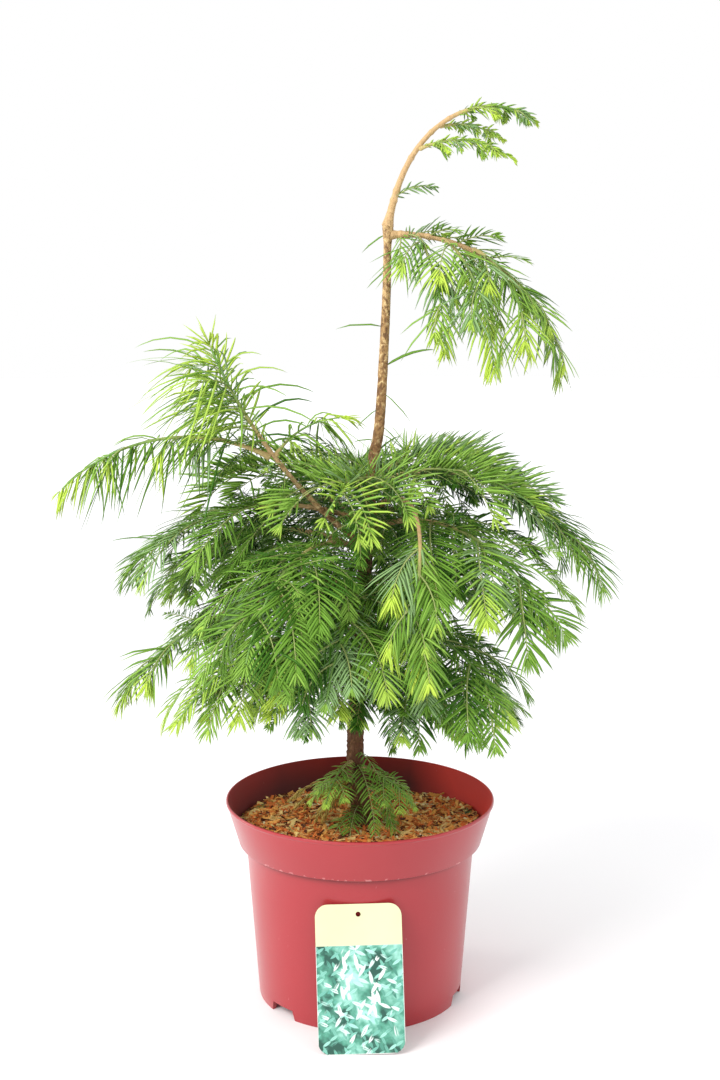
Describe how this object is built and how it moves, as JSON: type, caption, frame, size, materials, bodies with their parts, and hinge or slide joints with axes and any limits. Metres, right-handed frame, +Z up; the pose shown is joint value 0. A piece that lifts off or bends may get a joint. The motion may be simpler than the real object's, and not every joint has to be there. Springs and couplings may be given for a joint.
{
  "type": "young dawn redwood tree in a pot",
  "caption": "Young potted conifer with a leaning leader, drooping boughs and flat feathery sprays of needles, in a round tapered pot with a plain card label leaning on it.",
  "frame": {"origin": "centre of the flat underside of the pot, on the surface it stands on", "axes": "+Z up along the plant, -Y towards the front where the label leans, +X to the right seen from the front"},
  "size_m": [0.4533, 0.361, 0.7362],
  "materials": {
    "pot": "satin moulded plastic",
    "growing_medium": "rough bark and coir fibres",
    "bark": "rough fissured bark",
    "foliage": "matte green needles",
    "label": "smooth printed card"
  },
  "bodies": {
    "root": {"basal_1_foliage": "foliage", "basal_2_foliage": "foliage", "front_bough": "bark", "front_foliage": "foliage", "growing_medium": "growing_medium", "high_back_foliage": "foliage", "high_bough": "bark", "high_foliage": "foliage", "high_inner_foliage": "foliage", "high_middle_foliage": "foliage", "high_outer_foliage": "foliage", "leader_bough": "bark", "leader_foliage": "foliage", "leader_low_foliage": "foliage", "leader_middle_foliage": "foliage", "left_arm_bough": "bark", "left_arm_foliage": "foliage", "left_bough": "bark", "left_foliage": "foliage", "left_inner_foliage": "foliage", "left_low_bough": "bark", "left_low_foliage": "foliage", "left_wing_bough": "bark", "left_wing_foliage": "foliage", "lower_1_foliage": "foliage", "lower_2_foliage": "foliage", "lower_3_foliage": "foliage", "lower_4_foliage": "foliage", "lower_5_foliage": "foliage", "lower_6_foliage": "foliage", "middle_1_foliage": "foliage", "middle_2_foliage": "foliage", "middle_3_foliage": "foliage", "middle_4_foliage": "foliage", "middle_5_foliage": "foliage", "middle_6_foliage": "foliage", "plant_label": "label", "pot": "pot", "right_long_bough": "bark", "right_long_foliage": "foliage", "top_1_foliage": "foliage", "top_2_foliage": "foliage", "top_3_foliage": "foliage", "top_4_foliage": "foliage", "top_5_foliage": "foliage", "trunk": "bark", "upper_1_bough": "bark", "upper_1_foliage": "foliage", "upper_2_bough": "bark", "upper_2_foliage": "foliage", "upper_3_bough": "bark", "upper_3_foliage": "foliage", "upper_4_bough": "bark", "upper_4_foliage": "foliage", "upper_5_bough": "bark", "upper_5_foliage": "foliage"}
  },
  "joints": []
}
